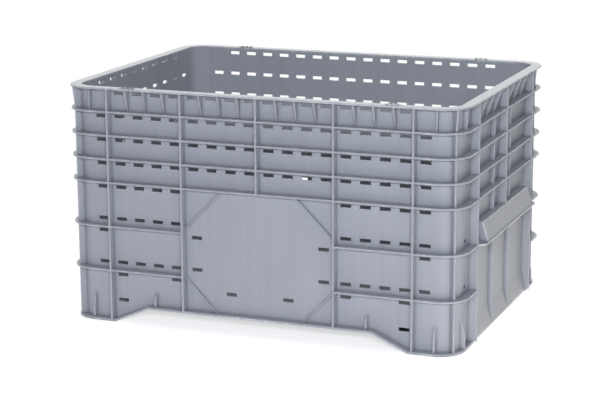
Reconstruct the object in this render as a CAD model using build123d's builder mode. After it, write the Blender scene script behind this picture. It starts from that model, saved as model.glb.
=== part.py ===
from build123d import *
import os

# A ventilated bulk tub for harvest work, drawn as the members of its one moulding.
# Sizes in millimetres. X runs along the long side, Y across it, Z up; the feet stand on Z = 0.
# Front is the long side at -Y, right is the end at +X.

# Rim outline and height
tub_length = 800.0
tub_depth = 600.0
tub_height = 457.5
corner_radius = 55.0
rim_thickness = 3.5

# Walls and the ribs that stand out from them
wall_thickness = 3.5
rib_setback = 1.0
rib_depth = 17.0
rib_thickness = 3.8
corner_post_depth = 12.3

# Rib hoops, counted from the rim downwards
first_hoop_drop = 46.0
upper_hoop_pitch = 45.7
lower_hoop_base = 15.5

# Posts: the bays between the outer post and the rounded corner
corner_bay = 40.6
end_corner_bay = 50.5

# Ventilation slots
slots_per_bay = 4
slot_length = 21.0
slot_height = 6.8
rim_slot_drop = 11.7
slot_drop = 10.5
slot_rise = 13.4
foot_slot_height = 40.4
panel_slot_inset = 24.0
panel_low_slot_offset = 57.5
panel_low_slot_height = 73.0

# Small webs under the rim
gusset_thickness = 3.0
gusset_toe = 3.0
corner_gusset_depth = 8.0

# Arched lower edge, its flange and the small webs on it
arch_height = 31.0
arch_run = 71.0
foot_inset = 7.4
flange_thickness = 4.5
end_flange_depth = 10.5
base_gusset_inset = 12.3
base_gusset_depth = 10.5
end_gusset_depth = 9.0
base_gusset_thickness = 4.5
arch_gusset_rise = 27.0
foot_gusset_rise = 51.0
base_gusset_curve = 0.64

# Diagonal braces on the plain panel of the long sides
brace_width = 3.4
brace_depth = 4.5
upper_brace_run = 76.0
upper_brace_rise = 76.0
lower_brace_run = 60.0
lower_brace_rise = 62.0

# Hand grips on the ends
grip_margin = 31.0
grip_height = 40.0
grip_reach = 12.4
grip_thickness = 3.5
grip_lip_step = 2.0

# Shallow ribs and sill on the ends
end_rib_offset = 58.0
end_rib_depth = 8.0
end_rib_thickness = 4.0
end_rib_lip_gap = 20.0
sill_height = 44.0
sill_shoulder = 5.0

# Floor deck and the webs below it
deck_top = 52.0
deck_thickness = 4.0
floor_rib_thickness = 3.0

# Saw teeth on the long rims
teeth_in_group = 3
tooth_offset = 265.0
tooth_pitch = 10.0
tooth_length = 8.0
tooth_height = 3.0
tooth_width = 11.0

# Places that follow from the sizes
half_length = tub_length / 2
half_depth = tub_depth / 2
corner_x = half_length - corner_radius
corner_y = half_depth - corner_radius
rib_x = half_length - rib_setback
rib_y = half_depth - rib_setback
wall_x = rib_x - rib_depth
wall_y = rib_y - rib_depth
inner_x = wall_x - wall_thickness
inner_y = wall_y - wall_thickness
rib_radius = corner_radius - rib_setback
wall_radius = rib_radius - rib_depth
inner_radius = wall_radius - wall_thickness
post_radius = wall_radius + corner_post_depth
rim_under = tub_height - rim_thickness
half_rib = rib_thickness / 2

hoop_1 = tub_height - first_hoop_drop
hoop_2 = hoop_1 - upper_hoop_pitch
hoop_3 = hoop_2 - upper_hoop_pitch
hoop_4 = hoop_3 - upper_hoop_pitch
lower_hoop_pitch = (hoop_4 - lower_hoop_base) / 3
hoop_5 = hoop_4 - lower_hoop_pitch
hoop_6 = hoop_5 - lower_hoop_pitch
upper_hoops = [hoop_1, hoop_2, hoop_3, hoop_4]
lower_hoops = [hoop_5, hoop_6]

outer_post = corner_x - corner_bay
long_bay = outer_post / 2
end_post = corner_y - end_corner_bay
long_slot_pitch = long_bay / slots_per_bay
end_slot_pitch = end_post / slots_per_bay

arch_foot = outer_post - foot_inset
arch_half = arch_foot - arch_run
arch_top = arch_height + flange_thickness

grip_half = end_post - grip_margin
post_face = end_post - half_rib
grip_lip = hoop_5 - half_rib
grip_top = grip_lip + grip_height
grip_lip_x = rib_x + grip_reach

deck_under = deck_top - deck_thickness

# The two long sides, the two ends and the four corners by name
long_sides = {"front": -1, "back": 1}
ends = {"left": -1, "right": 1}
corners = {
    "front_left": (-1, -1),
    "front_right": (1, -1),
    "back_left": (-1, 1),
    "back_right": (1, 1),
}

os.makedirs("parts", exist_ok=True)


def save(member, name):
    member.part.label = name
    export_step(member.part, "parts/" + name + ".step")


def long_wall_plane(side):
    # Sketch plane of a long wall whose extrusion runs towards -Y
    if side < 0:
        return Plane.XZ.offset(inner_y)
    return Plane.XZ.offset(-wall_y)


def end_wall_plane(end):
    # Sketch plane of an end wall whose extrusion runs towards +X
    if end < 0:
        return Plane.YZ.offset(-wall_x)
    return Plane.YZ.offset(inner_x)


def mirrored(places):
    return places + [-place for place in places]


def row(places, height):
    return [(place, height) for place in mirrored(places)]


# Slot places on the long sides: four to a bay, and one in each corner bay
inner_bay_slots = [long_slot_pitch * (count + 0.5) for count in range(slots_per_bay)]
outer_bay_slots = [long_bay + place for place in inner_bay_slots]
corner_slots = [outer_post + long_slot_pitch / 2]
panel_slots = [long_bay - panel_slot_inset]
long_slots = row(inner_bay_slots + outer_bay_slots, tub_height - rim_slot_drop)
for hoop in [hoop_1, hoop_2, hoop_3]:
    long_slots += row(inner_bay_slots + outer_bay_slots + corner_slots, hoop - slot_drop)
long_slots += row(outer_bay_slots + corner_slots, hoop_4 - slot_drop)
long_slots += row(outer_bay_slots + corner_slots, hoop_5 + slot_rise)
long_slots += row(panel_slots + corner_slots, hoop_5 - slot_drop)
long_slots += row(panel_slots + outer_bay_slots + corner_slots, hoop_6 + slot_rise)
long_slots += row([outer_bay_slots[0], outer_bay_slots[-1]], hoop_6 - slot_drop)
long_slots += row([outer_bay_slots[-1]], foot_slot_height)
long_slots += row([panel_low_slot_offset], panel_low_slot_height)

# Slot places on the ends
end_bay_slots = [end_slot_pitch * (count + 0.5) for count in range(slots_per_bay)]
end_corner_slots = [end_post + end_slot_pitch / 2]
end_slots = row(end_bay_slots, tub_height - rim_slot_drop)
for hoop in [hoop_1, hoop_2, hoop_3]:
    end_slots += row(end_bay_slots + end_corner_slots, hoop - slot_drop)
for hoop in lower_hoops:
    end_slots += row(end_corner_slots, hoop + slot_rise)

# Long walls, from the top of the arch to the rim
for name, side in long_sides.items():
    with BuildPart() as long_wall:
        with BuildSketch(long_wall_plane(side)):
            with Locations((0, arch_height)):
                Rectangle(2 * corner_x, rim_under - arch_height, align=(Align.CENTER, Align.MIN))
            with Locations(*long_slots):
                Rectangle(slot_length, slot_height, mode=Mode.SUBTRACT)
        extrude(amount=wall_thickness)
    save(long_wall, "wall_" + name)

# End walls, from the ground to the rim
for name, end in ends.items():
    with BuildPart() as end_wall:
        with BuildSketch(end_wall_plane(end)):
            Rectangle(2 * corner_y, rim_under, align=(Align.CENTER, Align.MIN))
            with Locations(*end_slots):
                Rectangle(slot_length, slot_height, mode=Mode.SUBTRACT)
        extrude(amount=wall_thickness)
    save(end_wall, "wall_" + name)


def corner_sector(sign_x, sign_y, outer, inner):
    # Quarter ring about the centre of a rounded corner, drawn into the open sketch
    with Locations((sign_x * corner_x, sign_y * corner_y)):
        Circle(outer)
        Circle(inner, mode=Mode.SUBTRACT)
    with Locations((sign_x * (corner_x + outer / 2), sign_y * (corner_y + outer / 2))):
        Rectangle(outer, outer, mode=Mode.INTERSECT)


# Rounded corner walls
for name, (sign_x, sign_y) in corners.items():
    with BuildPart() as corner_wall:
        with BuildSketch(Plane.XY):
            corner_sector(sign_x, sign_y, wall_radius, inner_radius)
        extrude(amount=rim_under)
    save(corner_wall, "corner_" + name)

# Rim rails and rounded rim corners
for name, side in long_sides.items():
    with BuildPart() as rim_rail:
        with BuildSketch(Plane.XY.offset(rim_under)):
            with Locations((0, side * (half_depth + inner_y) / 2)):
                Rectangle(2 * corner_x, half_depth - inner_y)
        extrude(amount=rim_thickness)
    save(rim_rail, "rim_" + name)

for name, end in ends.items():
    with BuildPart() as rim_rail:
        with BuildSketch(Plane.XY.offset(rim_under)):
            with Locations((end * (half_length + inner_x) / 2, 0)):
                Rectangle(half_length - inner_x, 2 * corner_y)
        extrude(amount=rim_thickness)
    save(rim_rail, "rim_" + name)

for name, (sign_x, sign_y) in corners.items():
    with BuildPart() as rim_corner:
        with BuildSketch(Plane.XY.offset(rim_under)):
            corner_sector(sign_x, sign_y, corner_radius, inner_radius)
        extrude(amount=rim_thickness)
    save(rim_corner, "rim_corner_" + name)

# Saw teeth on top of the long rims, rising towards the middle
tooth_y = (half_depth + inner_y) / 2
with BuildPart() as stacking_teeth:
    for sign_x, sign_y in corners.values():
        with BuildSketch(Plane.XZ.offset(-sign_y * tooth_y)):
            for count in range(teeth_in_group):
                middle = sign_x * tooth_offset + (count - (teeth_in_group - 1) / 2) * tooth_pitch
                Polygon(
                    (middle - tooth_length / 2, tub_height),
                    (middle + tooth_length / 2, tub_height),
                    (middle - sign_x * tooth_length / 2, tub_height + tooth_height),
                )
        extrude(amount=tooth_width / 2, both=True)
save(stacking_teeth, "stacking_teeth")


def post_strips():
    # Plan of every straight post, taken out of the open sketch
    for side in long_sides.values():
        for place in [-outer_post, -long_bay, 0, long_bay, outer_post]:
            with Locations((place, side * (wall_y + rib_y) / 2)):
                Rectangle(rib_thickness, rib_depth, mode=Mode.SUBTRACT)
    for end in ends.values():
        for place in [-end_post, 0, end_post]:
            with Locations((end * (wall_x + rib_x) / 2, place)):
                Rectangle(rib_depth, rib_thickness, mode=Mode.SUBTRACT)


def hoop_bars():
    # Plan of a full hoop's straight bars, drawn into the open sketch
    for side in long_sides.values():
        with Locations((0, side * (wall_y + rib_y) / 2)):
            Rectangle(2 * corner_x, rib_depth)
    for end in ends.values():
        with Locations((end * (wall_x + rib_x) / 2, 0)):
            Rectangle(rib_depth, 2 * corner_y)
    post_strips()


# Upper hoops run all round, in bars from post to post
for count, hoop in enumerate(upper_hoops):
    with BuildPart() as rib_hoop:
        with BuildSketch(Plane.XY.offset(hoop - half_rib)):
            hoop_bars()
        extrude(amount=rib_thickness)
    save(rib_hoop, "rib_hoop_" + str(count + 1))

# Lower hoops leave the long panel and the ends' panel bare
for count, hoop in enumerate(lower_hoops):
    with BuildPart() as rib_hoop:
        with BuildSketch(Plane.XY.offset(hoop - half_rib)):
            hoop_bars()
            Rectangle(2 * long_bay, tub_depth, mode=Mode.SUBTRACT)
            Rectangle(tub_length, 2 * end_post, mode=Mode.SUBTRACT)
            if hoop == hoop_5:
                for sign_x, sign_y in corners.values():
                    Polygon(
                        (sign_x * wall_x, sign_y * post_face),
                        (sign_x * rib_x, sign_y * post_face),
                        (sign_x * grip_lip_x, sign_y * (post_face - grip_reach)),
                        (sign_x * grip_lip_x, sign_y * grip_half),
                        (sign_x * wall_x, sign_y * grip_half),
                    )
        extrude(amount=rib_thickness)
    save(rib_hoop, "rib_hoop_" + str(count + 1 + len(upper_hoops)))

# Rounded bars of all hoops at each corner, on both sides of the corner post
for name, (sign_x, sign_y) in corners.items():
    with BuildPart() as corner_ribs:
        for hoop in upper_hoops + lower_hoops:
            with BuildSketch(Plane.XY.offset(hoop - half_rib)):
                corner_sector(sign_x, sign_y, rib_radius, wall_radius)
                with Locations((sign_x * corner_x, sign_y * corner_y)):
                    Rectangle(
                        4 * rib_radius,
                        rib_thickness,
                        rotation=45 * sign_x * sign_y,
                        mode=Mode.SUBTRACT,
                    )
            extrude(amount=rib_thickness)
    save(corner_ribs, "corner_ribs_" + name)

# Corner posts, shallower than the hoops, flaring out to the rim, with a tooth that carries each hoop across
with BuildPart() as corner_posts:
    for sign_x, sign_y in corners.values():
        corner_plane = Plane(
            origin=(sign_x * corner_x, sign_y * corner_y, 0),
            x_dir=(sign_x, sign_y, 0),
            z_dir=(sign_y, -sign_x, 0),
        )
        with BuildSketch(corner_plane):
            Polygon(
                (wall_radius, flange_thickness),
                (post_radius, flange_thickness),
                (post_radius, hoop_1 + half_rib),
                (rib_radius, rim_under),
                (wall_radius, rim_under),
            )
            for hoop in upper_hoops + lower_hoops:
                with Locations((wall_radius, hoop)):
                    Rectangle(rib_depth, rib_thickness, align=(Align.MIN, Align.CENTER))
        extrude(amount=half_rib, both=True)
save(corner_posts, "corner_posts")

# Outline below the top of the base flange, seen along Y
below_flange = [
    (-half_length, 0),
    (-half_length, flange_thickness),
    (-arch_foot, flange_thickness),
    (-arch_half, arch_top),
    (arch_half, arch_top),
    (arch_foot, flange_thickness),
    (half_length, flange_thickness),
    (half_length, 0),
]

# Posts of the long sides: the middle one stops at the fourth hoop, the others stand on the base flange
for name, side in long_sides.items():
    with BuildPart() as posts:
        with BuildSketch(Plane.XY):
            for place in mirrored([long_bay, outer_post]):
                with Locations((place, side * (wall_y + rib_y) / 2)):
                    Rectangle(rib_thickness, rib_depth)
        extrude(amount=rim_under)
        with BuildSketch(Plane.XZ):
            Polygon(*below_flange)
        extrude(amount=half_depth, both=True, mode=Mode.SUBTRACT)
        with BuildSketch(Plane.XY.offset(hoop_4 - half_rib)):
            with Locations((0, side * (wall_y + rib_y) / 2)):
                Rectangle(rib_thickness, rib_depth)
        extrude(amount=rim_under - hoop_4 + half_rib)
    save(posts, "posts_" + name)

# Posts of the ends: the middle one stops at the hand grip, the others stand on the feet
for name, end in ends.items():
    with BuildPart() as posts:
        with BuildSketch(Plane.XY.offset(flange_thickness)):
            for place in mirrored([end_post]):
                with Locations((end * (wall_x + rib_x) / 2, place)):
                    Rectangle(rib_depth, rib_thickness)
        extrude(amount=rim_under - flange_thickness)
        with BuildSketch(Plane.XY.offset(grip_top)):
            with Locations((end * (wall_x + rib_x) / 2, 0)):
                Rectangle(rib_depth, rib_thickness)
        extrude(amount=rim_under - grip_top)
    save(posts, "posts_" + name)

# Slanted webs under the rim, midway between slots, and a straight one where each corner begins
long_gussets = []
for count in range(1, slots_per_bay):
    long_gussets.append(long_slot_pitch * count)
    long_gussets.append(long_bay + long_slot_pitch * count)
end_gussets = [end_slot_pitch * count for count in range(1, slots_per_bay)]
gusset_base = hoop_1 + half_rib

for name, side in long_sides.items():
    with BuildPart() as rim_gussets:
        for place in mirrored(long_gussets):
            with BuildSketch(Plane.YZ.offset(place)):
                Polygon(
                    (side * wall_y, gusset_base),
                    (side * (wall_y + gusset_toe), gusset_base),
                    (side * rib_y, rim_under),
                    (side * wall_y, rim_under),
                )
            extrude(amount=gusset_thickness / 2, both=True)
        with BuildSketch(Plane.XY.offset(gusset_base)):
            for place in mirrored([corner_x]):
                with Locations((place, side * (wall_y + corner_gusset_depth / 2))):
                    Rectangle(gusset_thickness, corner_gusset_depth)
        extrude(amount=rim_under - gusset_base)
    save(rim_gussets, "rim_gussets_" + name)

for name, end in ends.items():
    with BuildPart() as rim_gussets:
        for place in mirrored(end_gussets):
            with BuildSketch(Plane.XZ.offset(place)):
                Polygon(
                    (end * wall_x, gusset_base),
                    (end * (wall_x + gusset_toe), gusset_base),
                    (end * rib_x, rim_under),
                    (end * wall_x, rim_under),
                )
            extrude(amount=gusset_thickness / 2, both=True)
        with BuildSketch(Plane.XY.offset(gusset_base)):
            for place in mirrored([corner_y]):
                with Locations((end * (wall_x + corner_gusset_depth / 2), place)):
                    Rectangle(corner_gusset_depth, gusset_thickness)
        extrude(amount=rim_under - gusset_base)
    save(rim_gussets, "rim_gussets_" + name)

# Diagonal braces across the corners of the plain panels
upper_stretch = (upper_brace_rise + brace_width) / upper_brace_rise
lower_stretch = (lower_brace_rise + brace_width) / lower_brace_rise
panel_edge = long_bay - half_rib
panel_top = hoop_4 - half_rib
for name, side in long_sides.items():
    with BuildPart() as panel_braces:
        with BuildSketch(Plane.XZ.offset(-side * (wall_y + brace_depth / 2))):
            for sign_x in ends.values():
                Polygon(
                    (sign_x * panel_edge, panel_top - upper_brace_rise),
                    (sign_x * panel_edge, panel_top - upper_brace_rise * upper_stretch),
                    (sign_x * (panel_edge - upper_brace_run * upper_stretch), panel_top),
                    (sign_x * (panel_edge - upper_brace_run), panel_top),
                )
                Polygon(
                    (sign_x * panel_edge, arch_top + lower_brace_rise),
                    (sign_x * panel_edge, arch_top + lower_brace_rise * lower_stretch),
                    (sign_x * (panel_edge - lower_brace_run * lower_stretch), arch_top),
                    (sign_x * (panel_edge - lower_brace_run), arch_top),
                )
        extrude(amount=brace_depth / 2, both=True)
    save(panel_braces, "panel_braces_" + name)

# Flange along the top of the arch
for name, side in long_sides.items():
    with BuildPart() as base_flange:
        with BuildSketch(Plane.XY.offset(arch_height)):
            with Locations((0, side * (wall_y + rib_y) / 2)):
                Rectangle(2 * arch_half, rib_depth)
        extrude(amount=flange_thickness)
    save(base_flange, "base_flange_" + name)

# Feet: the skirt below the long wall and the flange that runs round the corner to the end post,
# narrower on the ends than on the long sides
end_flange_radius = wall_radius + end_flange_depth
for name, (sign_x, sign_y) in corners.items():
    with BuildPart() as foot:
        with BuildSketch(Plane.XZ.offset(-sign_y * (inner_y + wall_y) / 2)):
            Polygon(
                (sign_x * corner_x, 0),
                (sign_x * corner_x, arch_height),
                (sign_x * arch_half, arch_height),
                (sign_x * arch_foot, 0),
            )
        extrude(amount=wall_thickness / 2, both=True)
        with BuildSketch(Plane.XZ.offset(-sign_y * (wall_y + rib_y) / 2)):
            Polygon(
                (sign_x * corner_x, 0),
                (sign_x * corner_x, flange_thickness),
                (sign_x * arch_foot, flange_thickness),
                (sign_x * arch_half, arch_top),
                (sign_x * arch_half, arch_height),
                (sign_x * arch_foot, 0),
            )
        extrude(amount=rib_depth / 2, both=True)
        with BuildSketch(Plane.XY):
            with Locations((sign_x * corner_x, sign_y * corner_y)):
                Ellipse(end_flange_radius, rib_radius)
                Circle(wall_radius, mode=Mode.SUBTRACT)
            with Locations((sign_x * (corner_x + rib_x) / 2, sign_y * (corner_y + rib_y) / 2)):
                Rectangle(rib_radius, rib_radius, mode=Mode.INTERSECT)
            with Locations((sign_x * (wall_x + end_flange_depth / 2), sign_y * (post_face + corner_y) / 2)):
                Rectangle(end_flange_depth, corner_y - post_face)
        extrude(amount=flange_thickness)
    save(foot, "foot_" + name)

# Upright webs on the base flange and on the feet, their outer edges curving back to the wall:
# for each one its plane, the side that it stands out to, the wall face, its depth, its base and its rise
base_webs = []
for sign_x, sign_y in corners.values():
    arch_plane = Plane.YZ.offset(sign_x * (arch_half - base_gusset_inset))
    base_webs.append((arch_plane, sign_y, wall_y, base_gusset_depth, arch_top, arch_gusset_rise))
    front_plane = Plane.YZ.offset(sign_x * corner_x)
    base_webs.append((front_plane, sign_y, wall_y, base_gusset_depth, flange_thickness, foot_gusset_rise))
    end_plane = Plane.XZ.offset(-sign_y * corner_y)
    base_webs.append((end_plane, sign_x, wall_x, end_gusset_depth, flange_thickness, foot_gusset_rise))

with BuildPart() as base_gussets:
    for plane, sign, wall, depth, base, rise in base_webs:
        edge = sign * (wall + depth)
        shoulder = base + rise * (1 - base_gusset_curve)
        with BuildSketch(plane):
            with BuildLine():
                Polyline((sign * wall, base + rise), (sign * wall, base), (edge, base), (edge, shoulder))
                TangentArc((edge, shoulder), (sign * wall, base + rise), tangent=(0, 1))
            make_face()
        extrude(amount=base_gusset_thickness / 2, both=True)
save(base_gussets, "base_gussets")

# Sills along the foot of the ends, from post to post, and the shallow ribs above them
for name, end in ends.items():
    with BuildPart() as end_sill:
        with BuildSketch(Plane.XZ):
            Polygon(
                (end * wall_x, 0),
                (end * (wall_x + end_rib_depth), 0),
                (end * (wall_x + end_rib_depth), sill_shoulder),
                (end * wall_x, sill_height),
            )
        extrude(amount=post_face, both=True)
    save(end_sill, "end_sill_" + name)

shallow_tops = [hoop_1, hoop_2, hoop_3, hoop_4]
shallow_bottoms = [hoop_2 + half_rib, hoop_3 + half_rib, hoop_4 + half_rib, grip_top]
for name, end in ends.items():
    with BuildPart() as end_ribs:
        for place in mirrored([end_rib_offset]):
            with BuildSketch(Plane.XZ.offset(place)):
                for top, bottom in zip(shallow_tops, shallow_bottoms):
                    with Locations((end * (wall_x + end_rib_depth / 2), bottom)):
                        Rectangle(end_rib_depth, top - half_rib - bottom, align=(Align.CENTER, Align.MIN))
                Polygon(
                    (end * wall_x, sill_height),
                    (end * (wall_x + end_rib_depth), sill_shoulder),
                    (end * (wall_x + end_rib_depth), grip_lip - end_rib_lip_gap),
                    (end * wall_x, grip_lip - end_rib_lip_gap),
                )
            extrude(amount=end_rib_thickness / 2, both=True)
    save(end_ribs, "end_ribs_" + name)

# Hand grips: a sloped hood with a lip, closed at the top and at both cheeks, open below
lip_top = hoop_5 + half_rib
hood_slope = (grip_reach - grip_lip_step) / (grip_top - lip_top)
for name, end in ends.items():
    with BuildPart() as hand_grip:
        with BuildSketch(Plane.XZ):
            Polygon(
                (end * wall_x, grip_top),
                (end * rib_x, grip_top),
                (end * (grip_lip_x - grip_lip_step), lip_top),
                (end * grip_lip_x, lip_top),
                (end * grip_lip_x, grip_lip),
                (end * wall_x, grip_lip),
            )
        extrude(amount=grip_half, both=True)
        with BuildSketch(Plane.XZ):
            Polygon(
                (end * wall_x, grip_top - grip_thickness),
                (end * (rib_x + (hood_slope - 1) * grip_thickness), grip_top - grip_thickness),
                (end * (rib_x + hood_slope * grip_height - grip_thickness), grip_lip),
                (end * wall_x, grip_lip),
            )
        extrude(amount=grip_half - grip_thickness, both=True, mode=Mode.SUBTRACT)
    save(hand_grip, "hand_grip_" + name)

# Floor deck between the walls
with BuildPart() as floor_deck:
    with BuildSketch(Plane.XY.offset(deck_under)):
        RectangleRounded(2 * inner_x, 2 * inner_y, inner_radius)
    extrude(amount=deck_thickness)
save(floor_deck, "floor_deck")

# Webs below the deck: lengthwise from end to end, crosswise in bars between them
web_rows = [-end_post, -end_post / 2, 0, end_post / 2, end_post]
web_columns = [-outer_post, -long_bay, 0, long_bay, outer_post]
with BuildPart() as floor_ribs_long:
    with BuildSketch(Plane.XY.offset(arch_height)):
        for place in web_rows:
            with Locations((0, place)):
                Rectangle(2 * inner_x, floor_rib_thickness)
    extrude(amount=deck_under - arch_height)
save(floor_ribs_long, "floor_ribs_long")

with BuildPart() as floor_ribs_cross:
    with BuildSketch(Plane.XY.offset(arch_height)):
        for place in web_columns:
            with Locations((place, 0)):
                Rectangle(floor_rib_thickness, 2 * inner_y)
        for place in web_rows:
            with Locations((0, place)):
                Rectangle(2 * inner_x, floor_rib_thickness, mode=Mode.SUBTRACT)
    extrude(amount=deck_under - arch_height)
save(floor_ribs_cross, "floor_ribs_cross")

# Webs inside the feet, below the floor webs
for name, end in ends.items():
    with BuildPart() as runner_ribs:
        for place in web_rows:
            with BuildSketch(Plane.XZ.offset(place)):
                Polygon(
                    (end * arch_foot, 0),
                    (end * inner_x, 0),
                    (end * inner_x, arch_height),
                    (end * arch_half, arch_height),
                )
            extrude(amount=floor_rib_thickness / 2, both=True)
    save(runner_ribs, "runner_ribs_" + name)

    with BuildPart() as runner_web:
        with BuildSketch(Plane.XY):
            with Locations((end * outer_post, 0)):
                Rectangle(floor_rib_thickness, 2 * inner_y)
            for place in web_rows:
                with Locations((end * outer_post, place)):
                    Rectangle(2 * floor_rib_thickness, floor_rib_thickness, mode=Mode.SUBTRACT)
        extrude(amount=arch_height)
    save(runner_web, "runner_web_" + name)
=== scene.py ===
import math

import bmesh
import bpy
from mathutils import Matrix, Vector
from mathutils.bvhtree import BVHTree


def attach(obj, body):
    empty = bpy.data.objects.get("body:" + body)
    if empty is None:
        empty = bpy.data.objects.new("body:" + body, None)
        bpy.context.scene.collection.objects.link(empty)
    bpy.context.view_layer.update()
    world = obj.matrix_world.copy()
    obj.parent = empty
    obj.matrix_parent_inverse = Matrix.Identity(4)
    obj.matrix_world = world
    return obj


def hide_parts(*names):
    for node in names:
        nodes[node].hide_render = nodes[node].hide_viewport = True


# A ventilated harvest tub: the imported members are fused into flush, round-edged mouldings,
# given a satin grey plastic, and set on a pale studio floor.

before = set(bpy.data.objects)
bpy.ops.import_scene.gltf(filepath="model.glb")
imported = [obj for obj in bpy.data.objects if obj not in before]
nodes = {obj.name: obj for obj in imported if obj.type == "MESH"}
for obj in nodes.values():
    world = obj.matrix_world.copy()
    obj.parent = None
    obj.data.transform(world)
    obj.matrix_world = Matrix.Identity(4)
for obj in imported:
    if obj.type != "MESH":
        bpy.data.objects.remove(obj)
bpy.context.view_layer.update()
scene = bpy.context.scene
MM = 0.001

# Members that are fused together, piece by piece
CORNERS = ["front_left", "front_right", "back_left", "back_right"]
ENDS = ["left", "right"]
LONG_SIDES = ["front", "back"]
SIDES = LONG_SIDES + ENDS


def named(stem, places):
    return [stem + "_" + place for place in places]


RIB_FRAME = (
    named("posts", SIDES)
    + named("rib_hoop", "123456")
    + named("corner_ribs", CORNERS)
    + ["corner_posts"]
    + named("end_ribs", ENDS)
    + named("hand_grip", ENDS)
    + named("rim_gussets", SIDES)
    + named("base_flange", LONG_SIDES)
    + named("foot", CORNERS)
    + ["base_gussets"]
    + named("end_sill", ENDS)
)
RIM_BAND = named("rim", SIDES) + named("rim_corner", CORNERS)
WALL_SHELL = named("wall", SIDES) + named("corner", CORNERS)
BRACES = named("panel_braces", LONG_SIDES)
TEETH = ["stacking_teeth"]

# How the edges of each piece are rounded: width in mm and steps
RIB_ROUND = (0.9, 2)
RIM_ROUND = (1.0, 3)
WALL_ROUND = (0.5, 1)
BRACE_ROUND = (0.6, 2)
TOOTH_ROUND = (0.5, 2)
HOOD_ROUND = (2.0, 4)
ROUND_PROFILE = 0.5

# The rims' upper faces and the teeth on them get a painted highlight, a paler colour: how much, and which
# faces count by their height and by how squarely they face up
RIM_TOP_HIGHLIGHT = 0.8
RIM_TOP = 457.0 * MM
TOOTH_FOOT = 457.6 * MM
FACING_UP = 0.99

# So do the outer edges of the rib hoops: upright faces lower than HOOP_EDGE and longer than HOOP_LENGTH
HOOP_HIGHLIGHT = 1.4
HOOP_EDGE = 4.5 * MM
HOOP_LENGTH = 8.0 * MM
FACING_OUT = 0.05

# And, a little, the sloped hoods of the hand grips get the painted highlight, told by their lean and their
# height above the floor
GRIP_HOOD_HIGHLIGHT = 0.2
GRIP_LEAN = (0.15, 0.5)
GRIP_FOOT = 150.0 * MM

# Where flat faces are cut, along X, Y and Z in mm: midway between posts and between hoops,
# across the middle of the rims, and through the rows of slots
AXES = (Vector((1.0, 0.0, 0.0)), Vector((0.0, 1.0, 0.0)), Vector((0.0, 0.0, 1.0)))
RIB_CUTS = (
    (-324.7, -228.3, -76.1, 76.1, 228.3, 324.7),
    (-219.75, -97.25, 97.25, 219.75),
    (70.0, 145.0, 231.3, 297.3, 343.0, 388.7, 432.0),
)
RIM_CUTS = ((0.0,), (0.0,), ())
WALL_CUTS = (
    (),
    (),
    (40.4, 73.0, 91.3, 115.2, 177.6, 201.5, 263.9, 309.6, 355.3, 401.0, 445.8),
)

# Rounded corners of the tub: centre, the two radii that the corner posts stand between, and half a post.
# The posts are set into the hoops by a hair, so that the two fuse.
CORNER_CENTRE = (345.0 * MM, 245.0 * MM)
POST_RADII = (37.0 * MM, 54.0 * MM)
HALF_POST = 1.9 * MM
HAIR = 0.03 * MM
INSET = HAIR / 10

# Points nearer than WELD are joined, edges shorter than SLIVER go, and members nearer than TOUCH meet
WELD = 0.01 * MM
SLIVER = 0.06 * MM
TOUCH = 0.1 * MM

# Faces that bend less than FLAT are joined, and edges that bend more than SHARP are rounded
FLAT = math.radians(1.0)
SHARP = math.radians(28.0)

# Where an edge is tested for members beside it, and the rise of edges that run neither level nor upright
SAMPLES_ALONG = (0.12, 0.31, 0.5, 0.69, 0.88)
SLANTED_RISE = (0.05, 0.95)

# Faces of one curve share their shading up to the first limit, a rounded edge and the faces beside it
# up to the second
CURVED = math.cos(math.radians(26.0))
ROUNDED = math.cos(math.radians(62.0))

# How strong the painted highlight (a paler colour) and the polish of rounded edges are, in general and on the
# hoods; these values also mark their faces
ROUND_EDGE = 1.0
HOOD_EDGE = 1.75
ROUNDS = (ROUND_EDGE, HOOD_EDGE)


def set_into_hoops(vertex):
    """Moves a point of a corner post so that the post overlaps the hoops' round bars by a hair."""
    sign_x = math.copysign(1.0, vertex.co.x)
    sign_y = math.copysign(1.0, vertex.co.y)
    out = Vector((sign_x, sign_y, 0.0)).normalized()
    side = Vector((-out.y, out.x, 0.0))
    centre = Vector((sign_x * CORNER_CENTRE[0], sign_y * CORNER_CENTRE[1], vertex.co.z))
    reach = (vertex.co - centre).dot(out)
    offset = math.copysign(HALF_POST + HAIR, (vertex.co - centre).dot(side))
    for radius in POST_RADII:
        if abs(reach - radius) < HAIR:
            reach = math.sqrt(radius**2 - offset**2) - INSET
    vertex.co = centre + out * reach + side * offset


def welded_copy(name):
    """A copy of a member with its doubled points joined."""
    shape = bmesh.new()
    shape.from_mesh(nodes[name].data)
    bmesh.ops.remove_doubles(shape, verts=shape.verts, dist=WELD)
    if name == "corner_posts":
        for vertex in shape.verts:
            set_into_hoops(vertex)
    mesh = bpy.data.meshes.new(name + "_copy")
    shape.to_mesh(mesh)
    shape.free()
    return bpy.data.objects.new(name + "_copy", mesh)


def fused(names):
    """One closed mesh from members that meet face to face."""
    copies = [welded_copy(name) for name in names]
    first = copies[0]
    scene.collection.objects.link(first)
    others = bpy.data.collections.new("fuse")
    for copy in copies[1:]:
        others.objects.link(copy)
    if len(copies) > 1:
        fuse = first.modifiers.new("fuse", "BOOLEAN")
        fuse.operation = "UNION"
        fuse.solver = "MANIFOLD"
        fuse.operand_type = "COLLECTION"
        fuse.collection = others
    bpy.context.view_layer.update()
    graph = bpy.context.evaluated_depsgraph_get()
    mesh = bpy.data.meshes.new_from_object(first.evaluated_get(graph))
    for copy in copies:
        bpy.data.objects.remove(copy)
    bpy.data.collections.remove(others)
    return mesh


def surface_of(names):
    """Search tree over the faces of these members."""
    points, faces = [], []
    for name in names:
        mesh = nodes[name].data
        start = len(points)
        points += [vertex.co.copy() for vertex in mesh.vertices]
        faces += [[start + index for index in face.vertices] for face in mesh.polygons]
    return BVHTree.FromPolygons(points, faces)


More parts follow.
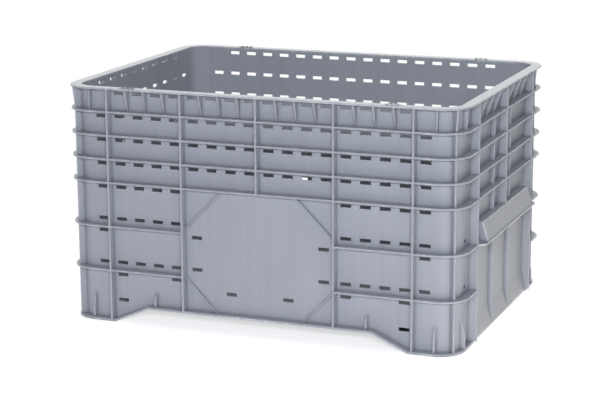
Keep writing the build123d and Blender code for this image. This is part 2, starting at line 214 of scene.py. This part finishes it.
def cut_flat_faces(shape, cuts):
    """Cuts the faces at these places along X, Y and Z, so that no flat face is left with a hole in it."""
    for axis, places in zip(AXES, cuts):
        for place in places:
            cut = bmesh.ops.bisect_plane(
                shape,
                geom=shape.verts[:] + shape.edges[:] + shape.faces[:],
                dist=WELD,
                plane_co=axis * place * MM,
                plane_no=axis,
            )
            for edge in cut["geom_cut"]:
                if isinstance(edge, bmesh.types.BMEdge):
                    edge.seam = True


def is_free_edge(edge, neighbours, slanted):
    """A convex edge that lies on no neighbouring member, and that isn't slanted unless slanted ones count."""
    if edge.calc_face_angle_signed(0.0) < SHARP:
        return False
    start, end = (vertex.co for vertex in edge.verts)
    rise = abs((end - start).normalized().z)
    if not slanted and SLANTED_RISE[0] < rise < SLANTED_RISE[1]:
        return False
    covered = 0
    for share in SAMPLES_ALONG:
        if neighbours.find_nearest(start.lerp(end, share), TOUCH)[0] is not None:
            covered += 1
    return covered < len(SAMPLES_ALONG) / 2


def is_hoop_edge(face):
    """An upright face that is long and low."""
    if abs(face.normal.z) > FACING_OUT:
        return False
    heights = [vertex.co.z for vertex in face.verts]
    length = max(edge.calc_length() for edge in face.edges)
    return max(heights) - min(heights) < HOOP_EDGE and length > HOOP_LENGTH


def is_grip_hood(face):
    """A face on an end that leans like the hood of a hand grip."""
    leans = GRIP_LEAN[0] < face.normal.z < GRIP_LEAN[1]
    faces_end = abs(face.normal.x) > abs(face.normal.y)
    return leans and faces_end and min(vertex.co.z for vertex in face.verts) > GRIP_FOOT


def corner_normals(shape, highlight_and_polish):
    """Normals for every corner of every face: flat faces stay flat, rounded edges lead between them."""
    normals = []
    for face in shape.faces:
        rounded = face[highlight_and_polish] in ROUNDS
        limit = ROUNDED if rounded else CURVED
        for loop in face.loops:
            around = [other for other in loop.vert.link_faces if other.normal.dot(face.normal) > limit]
            plain = [other for other in around if other[highlight_and_polish] not in ROUNDS]
            if rounded and plain:
                nearest = max(plain, key=lambda other: other.normal.dot(face.normal))
                plain = [other for other in plain if other.normal.dot(nearest.normal) > CURVED]
            normal = Vector()
            for other in plain or around:
                normal += other.normal
            normals.append(normal.normalized())
    return normals


def round_edges(shape, edges, width, steps, mark):
    """Rounds these edges and marks the new faces for the painted highlight and polish."""
    rounding = bmesh.ops.bevel(
        shape,
        geom=edges,
        offset=width * MM,
        offset_type="OFFSET",
        segments=steps,
        profile=ROUND_PROFILE,
        affect="EDGES",
        clamp_overlap=False,
        miter_outer="SHARP",
        miter_inner="SHARP",
    )
    highlight_and_polish = shape.faces.layers.float["edge_highlight_and_polish"]
    for face in rounding["faces"]:
        face[highlight_and_polish] = mark


def moulding(piece_name, names, width, steps, cuts=(), slanted=True):
    """A fused piece with rounded free edges, riding on the tub."""
    mesh = fused(names)
    neighbours = surface_of([name for name in nodes if name not in names])
    shape = bmesh.new()
    shape.from_mesh(mesh)
    bmesh.ops.remove_doubles(shape, verts=shape.verts, dist=WELD)
    bmesh.ops.dissolve_degenerate(shape, edges=shape.edges, dist=SLIVER)
    cut_flat_faces(shape, cuts)
    bmesh.ops.dissolve_limit(
        shape,
        angle_limit=FLAT,
        verts=shape.verts,
        edges=shape.edges,
        delimit={"SEAM"},
    )
    highlight_and_polish = shape.faces.layers.float.new("edge_highlight_and_polish")
    hood = [edge for edge in shape.edges if any(is_grip_hood(face) for face in edge.link_faces)]
    hood = [edge for edge in hood if is_free_edge(edge, neighbours, slanted)]
    round_edges(shape, hood, *HOOD_ROUND, HOOD_EDGE)
    free = [edge for edge in shape.edges if is_free_edge(edge, neighbours, slanted)]
    round_edges(shape, free, width, steps, ROUND_EDGE)
    # Rim tops, teeth, hoop fronts and grip hoods are marked for the painted highlight, a paler colour
    for face in shape.faces:
        if face[highlight_and_polish] in ROUNDS:
            continue
        height = face.calc_center_median().z
        if height > TOOTH_FOOT or (height > RIM_TOP and face.normal.z > FACING_UP):
            face[highlight_and_polish] = RIM_TOP_HIGHLIGHT
        if is_hoop_edge(face):
            face[highlight_and_polish] = HOOP_HIGHLIGHT
        if is_grip_hood(face):
            face[highlight_and_polish] = GRIP_HOOD_HIGHLIGHT
    bmesh.ops.dissolve_degenerate(shape, edges=shape.edges, dist=WELD)
    bmesh.ops.connect_verts_concave(shape, faces=shape.faces)
    for face in shape.faces:
        face.smooth = True
    shape.normal_update()
    normals = corner_normals(shape, highlight_and_polish)
    mesh.clear_geometry()
    shape.to_mesh(mesh)
    shape.free()
    mesh.name = piece_name
    mesh.normals_split_custom_set(normals)
    piece = bpy.data.objects.new(piece_name, mesh)
    scene.collection.objects.link(piece)
    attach(piece, "root")
    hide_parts(*names)
    return piece


pieces = [
    moulding("rib_frame", RIB_FRAME, *RIB_ROUND, cuts=RIB_CUTS),
    moulding("rim_band", RIM_BAND, *RIM_ROUND, cuts=RIM_CUTS),
    moulding("wall_shell", WALL_SHELL, *WALL_ROUND, cuts=WALL_CUTS),
    moulding("braces", BRACES, *BRACE_ROUND),
    moulding("rim_teeth", TEETH, *TOOTH_ROUND, slanted=False),
]

# Noises of the plastic: scale, detail and roughness; the streaks have a scale along each axis as well
CLOUDS = (7.0, 3.0, 0.55)
STREAKS = (1.0, 4.0, 0.6)
SPECKS = (420.0, 2.0, 0.5)
GRAIN = (1100.0, 2.0, 0.5)
SINK = (24.0, 2.0, 0.5)
STREAK_STRETCH = (85.0, 85.0, 4.0)
STREAK_SHARE = 0.55
SPECK_SHARE = 0.25
MOST_NOISE = (0.35, 0.65)

# Its colours, from the darkest to the lightest tone, the painted highlight on edges and rim tops, and the
# painted shade in inner corners and on the deck
WHITE = (1.0, 1.0, 1.0, 1.0)
TONES = {0.25: (0.304, 0.321, 0.360, 1.0), 0.75: (0.382, 0.403, 0.448, 1.0)}
PAINTED_HIGHLIGHT = (0.58, 0.60, 0.63, 1.0)
PAINTED_HIGHLIGHT_SHARE = (0.15, 0.55)
PAINTED_SHADE = (0.10, 0.105, 0.115, 1.0)
PAINTED_SHADE_REACH = 6.0 * MM
PAINTED_SHADE_OPENNESS = (0.35, 0.95)
PAINTED_SHADE_SHARE = (0.45, 0.0)
DECK_PAINTED_SHADE = (0.25, 0.6)

# Its roughness, how much smoother the faces marked for the painted highlight are, and its bumps: strength and
# depth
WHOLE = (0.0, 1.0)
ROUGHNESS = (0.34, 0.52)
POLISH = 0.16
SINK_BUMP = (0.25, 0.8 * MM)
GRAIN_BUMP = (0.12, 0.2 * MM)


def node(tree, kind, **sockets):
    """A shader node with these values on its sockets."""
    made = tree.nodes.new(kind)
    for key, value in sockets.items():
        made.inputs[key.replace("_", " ")].default_value = value
    return made


def noise(tree, place, scale, detail, roughness):
    made = node(tree, "ShaderNodeTexNoise", Scale=scale, Detail=detail, Roughness=roughness)
    tree.links.new(place, made.inputs["Vector"])
    return made.outputs["Fac"]


def remapped(tree, value, old, new, interpolation="LINEAR"):
    """A value carried from one range over to another."""
    made = node(tree, "ShaderNodeMapRange", From_Min=old[0], From_Max=old[1], To_Min=new[0], To_Max=new[1])
    made.interpolation_type = interpolation
    tree.links.new(value, made.inputs["Value"])
    return made.outputs["Result"]


def combined(tree, operation, *values):
    """Sockets and plain numbers put together by a math node."""
    made = tree.nodes.new("ShaderNodeMath")
    made.operation = operation
    for socket, value in zip(made.inputs, values):
        if isinstance(value, float):
            socket.default_value = value
        else:
            tree.links.new(value, socket)
    return made.outputs["Value"]


def mixed(tree, share, first, second):
    """Two values mixed by a fixed share of the second."""
    made = node(tree, "ShaderNodeMix", Factor=share)
    tree.links.new(first, made.inputs["A"])
    tree.links.new(second, made.inputs["B"])
    return made.outputs["Result"]


def tinted(tree, share, colour, tint):
    """A colour mixed with a plain tint by a share that varies."""
    made = tree.nodes.new("ShaderNodeMix")
    made.data_type = "RGBA"
    made.inputs["B"].default_value = tint
    tree.links.new(share, made.inputs["Factor"])
    tree.links.new(colour, made.inputs["A"])
    return made.outputs["Result"]


def bump(tree, height, strength, depth):
    made = node(tree, "ShaderNodeBump", Strength=strength, Distance=depth)
    tree.links.new(height, made.inputs["Height"])
    return made


def plastic(name, deck_shade=None):
    """Grey plastic with a painted highlight on its edges, painted shade in its inner corners and, where a
    range is given, painted shade all over in a noise pattern.
    """
    material = bpy.data.materials.new(name)
    material.use_nodes = True
    tree = material.node_tree
    link = tree.links.new
    shader = tree.nodes["Principled BSDF"]
    place = tree.nodes.new("ShaderNodeTexCoord").outputs["Object"]

    clouds = noise(tree, place, *CLOUDS)
    stretch = node(tree, "ShaderNodeMapping", Scale=STREAK_STRETCH)
    link(place, stretch.inputs["Vector"])
    streaks = noise(tree, stretch.outputs["Vector"], *STREAKS)
    specks = noise(tree, place, *SPECKS)
    broad = mixed(tree, STREAK_SHARE, clouds, streaks)
    fine = mixed(tree, SPECK_SHARE, broad, specks)

    tone = tree.nodes.new("ShaderNodeValToRGB")
    for stop, (position, colour) in zip(tone.color_ramp.elements, TONES.items()):
        stop.position = position
        stop.color = colour
    link(fine, tone.inputs["Fac"])
    # Painted highlight: the marked faces are mixed towards a pale colour, in streaks
    highlight_and_polish = tree.nodes.new("ShaderNodeAttribute")
    highlight_and_polish.attribute_name = "edge_highlight_and_polish"
    highlight_streaks = remapped(tree, streaks, MOST_NOISE, PAINTED_HIGHLIGHT_SHARE)
    highlight_amount = combined(tree, "MULTIPLY", highlight_and_polish.outputs["Fac"], highlight_streaks)
    pale = tinted(tree, highlight_amount, tone.outputs["Color"], PAINTED_HIGHLIGHT)
    # Painted shade: inner corners are darkened by how closed in they are (ambient occlusion)
    corner = node(tree, "ShaderNodeAmbientOcclusion", Distance=PAINTED_SHADE_REACH)
    painted_shade = remapped(tree, corner.outputs["AO"], PAINTED_SHADE_OPENNESS, PAINTED_SHADE_SHARE)
    # Painted shade on the deck: darkened all over in a noise pattern, standing in for the dim inside of the
    # tub
    if deck_shade:
        painted_shade = combined(tree, "MAXIMUM", painted_shade, remapped(tree, broad, MOST_NOISE, deck_shade))
    link(tinted(tree, painted_shade, pale, PAINTED_SHADE), shader.inputs["Base Color"])

    rough = remapped(tree, fine, WHOLE, ROUGHNESS)
    polish = combined(tree, "MULTIPLY", highlight_and_polish.outputs["Fac"], POLISH)
    link(combined(tree, "SUBTRACT", rough, polish), shader.inputs["Roughness"])

    waves = bump(tree, noise(tree, place, *SINK), *SINK_BUMP)
    texture = bump(tree, noise(tree, place, *GRAIN), *GRAIN_BUMP)
    link(waves.outputs["Normal"], texture.inputs["Normal"])
    link(texture.outputs["Normal"], shader.inputs["Normal"])
    return material


grey = plastic("grey_plastic")
# The inner deck gets painted shade all over
deck_shaded_plastic = plastic("grey_plastic_deck", DECK_PAINTED_SHADE)
for thing in list(nodes.values()) + pieces:
    thing.data.materials.clear()
    thing.data.materials.append(deck_shaded_plastic if thing == nodes["floor_deck"] else grey)

# Pale floor that keeps the tub's shadow near it and runs out to white. Near the tub it is lifted by a glow,
# but not below it, as far as these distances from the middle along X and Y.
FLOOR_HALF = 12.0
FLOOR_GREY = (0.82, 0.82, 0.82, 1.0)
FLOOR_LIFT = 0.62
UNDER_TUB = {"X": 0.37, "Y": 0.19}
SHADE_EDGE = 0.01
RUN_OUT = (0.45, 0.95)
floor_mesh = bpy.data.meshes.new("floor")
floor_mesh.from_pydata(
    [
        (-FLOOR_HALF, -FLOOR_HALF, 0.0),
        (FLOOR_HALF, -FLOOR_HALF, 0.0),
        (FLOOR_HALF, FLOOR_HALF, 0.0),
        (-FLOOR_HALF, FLOOR_HALF, 0.0),
    ],
    [],
    [(0, 1, 2, 3)],
)
floor = bpy.data.objects.new("floor", floor_mesh)
scene.collection.objects.link(floor)


def seen_directly(tree):
    """1 on rays from the camera, from gloss and through clear things, otherwise 0."""
    path = tree.nodes.new("ShaderNodeLightPath").outputs
    seen = combined(tree, "MAXIMUM", path["Is Camera Ray"], path["Is Glossy Ray"])
    return combined(tree, "MAXIMUM", seen, path["Is Transmission Ray"])


def floor_material():
    material = bpy.data.materials.new("pale_floor")
    material.use_nodes = True
    tree = material.node_tree
    link = tree.links.new
    tree.nodes.remove(tree.nodes["Principled BSDF"])
    seen = seen_directly(tree)
    place = tree.nodes.new("ShaderNodeTexCoord").outputs["Object"]

    axes = tree.nodes.new("ShaderNodeSeparateXYZ")
    link(place, axes.inputs["Vector"])
    beside = []
    for axis, half in UNDER_TUB.items():
        away = combined(tree, "ABSOLUTE", axes.outputs[axis])
        shade = (half - SHADE_EDGE, half + SHADE_EDGE)
        beside.append(remapped(tree, away, shade, WHOLE, "SMOOTHSTEP"))
    shown = combined(tree, "MULTIPLY", combined(tree, "MAXIMUM", *beside), seen)
    glow = node(tree, "ShaderNodeEmission", Color=WHITE)
    link(combined(tree, "MULTIPLY", shown, FLOOR_LIFT), glow.inputs["Strength"])
    matte = node(tree, "ShaderNodeBsdfDiffuse", Color=FLOOR_GREY)
    near = tree.nodes.new("ShaderNodeAddShader")
    link(matte.outputs["BSDF"], near.inputs[0])
    link(glow.outputs["Emission"], near.inputs[1])

    reach = tree.nodes.new("ShaderNodeVectorMath")
    reach.operation = "LENGTH"
    link(place, reach.inputs[0])
    fade = remapped(tree, reach.outputs["Value"], RUN_OUT, WHOLE, "SMOOTHSTEP")
    white = node(tree, "ShaderNodeEmission", Color=WHITE, Strength=1.0)
    mix = tree.nodes.new("ShaderNodeMixShader")
    link(combined(tree, "MULTIPLY", fade, seen), mix.inputs["Fac"])
    link(near.outputs["Shader"], mix.inputs[1])
    link(white.outputs["Emission"], mix.inputs[2])
    link(mix.outputs["Shader"], tree.nodes["Material Output"].inputs["Surface"])
    return material


floor_mesh.materials.append(floor_material())

# Studio light: a faint even light all round, and white where the surroundings are seen
AMBIENT = 0.035
world = bpy.data.worlds.new("studio")
world.use_nodes = True
scene.world = world
tree = world.node_tree
ambient = node(tree, "ShaderNodeBackground", Color=WHITE, Strength=AMBIENT)
backdrop = node(tree, "ShaderNodeBackground", Color=WHITE, Strength=1.0)
choose = tree.nodes.new("ShaderNodeMixShader")
tree.links.new(seen_directly(tree), choose.inputs["Fac"])
tree.links.new(ambient.outputs["Background"], choose.inputs[1])
tree.links.new(backdrop.outputs["Background"], choose.inputs[2])
tree.links.new(choose.outputs["Shader"], tree.nodes["World Output"].inputs["Surface"])

# Each lamp: place, point it faces, width, height, power, colour, and whether gloss shows it
TUB_MIDDLE = (0.0, 0.0, 0.22)
LAMPS = {
    "key": ((1.447, -3.582, 1.470), TUB_MIDDLE, 1.5, 0.4, 98.0, (0.96, 0.99, 1.06), False),
    "backdrop": ((-1.230, 3.170, 1.150), TUB_MIDDLE, 4.0, 1.7, 14.0, (1.0, 1.0, 1.0), True),
    "back_left": ((-1.142, 3.137, 1.569), TUB_MIDDLE, 1.5, 1.2, 32.0, (1.02, 1.0, 0.98), False),
    "back_right": ((1.273, 2.205, 2.766), TUB_MIDDLE, 1.5, 1.2, 8.0, (1.02, 1.0, 0.98), False),
    "back_low": ((-0.8, 3.8, 0.6), TUB_MIDDLE, 1.5, 0.6, 30.0, (1.0, 1.0, 1.02), False),
    "left_low": ((-3.7, 0.6, 0.6), TUB_MIDDLE, 1.5, 0.6, 60.0, (1.0, 1.0, 1.02), False),
    "overhead": ((0.1, -0.25, 3.0), TUB_MIDDLE, 2.0, 2.0, 18.0, (1.0, 1.0, 1.0), False),
    "floor_front": ((0.1, -0.585, 0.001), (0.1, -0.585, 1.0), 2.6, 0.6, 2.3, (1.02, 1.0, 0.98), False),
    "floor_right": ((0.68, -0.1, 0.001), (0.68, -0.1, 1.0), 0.6, 1.1, 2.0, (1.08, 1.0, 0.88), False),
}


def lamp(name, place, target, width, height, power, colour, in_gloss):
    """A soft rectangular lamp that the camera doesn't see."""
    light = bpy.data.lights.new(name, "AREA")
    light.shape = "RECTANGLE"
    light.size = width
    light.size_y = height
    light.energy = power
    light.color = colour
    thing = bpy.data.objects.new(name, light)
    thing.location = place
    aim = Vector(target) - Vector(place)
    thing.rotation_euler = aim.to_track_quat("-Z", "Y").to_euler()
    thing.visible_camera = False
    thing.visible_glossy = in_gloss
    scene.collection.objects.link(thing)


for name, facts in LAMPS.items():
    lamp(name, *facts)

# Camera at the viewing angle of the photograph
AZIMUTH = math.radians(21.2)
ELEVATION = math.radians(12.9)
ROLL = math.radians(-0.234)
EYE = Vector((1.2881, -3.3916, 1.0320))
SENSOR_WIDTH = 36.0
FOCAL_LENGTH = 111.36
right = Vector((math.cos(AZIMUTH), math.sin(AZIMUTH), 0.0))
ahead = Vector(
    (
        -math.sin(AZIMUTH) * math.cos(ELEVATION),
        math.cos(AZIMUTH) * math.cos(ELEVATION),
        -math.sin(ELEVATION),
    )
)
down = ahead.cross(right)
right, down = (
    right * math.cos(ROLL) - down * math.sin(ROLL),
    right * math.sin(ROLL) + down * math.cos(ROLL),
)
lens = bpy.data.cameras.new("camera")
lens.sensor_fit = "HORIZONTAL"
lens.sensor_width = SENSOR_WIDTH
lens.lens = FOCAL_LENGTH
camera = bpy.data.objects.new("camera", lens)
camera.matrix_world = Matrix(
    (
        (right.x, -down.x, -ahead.x, EYE.x),
        (right.y, -down.y, -ahead.y, EYE.y),
        (right.z, -down.z, -ahead.z, EYE.z),
        (0.0, 0.0, 0.0, 1.0),
    )
)
scene.collection.objects.link(camera)
scene.camera = camera
scene.view_settings.view_transform = "Standard"
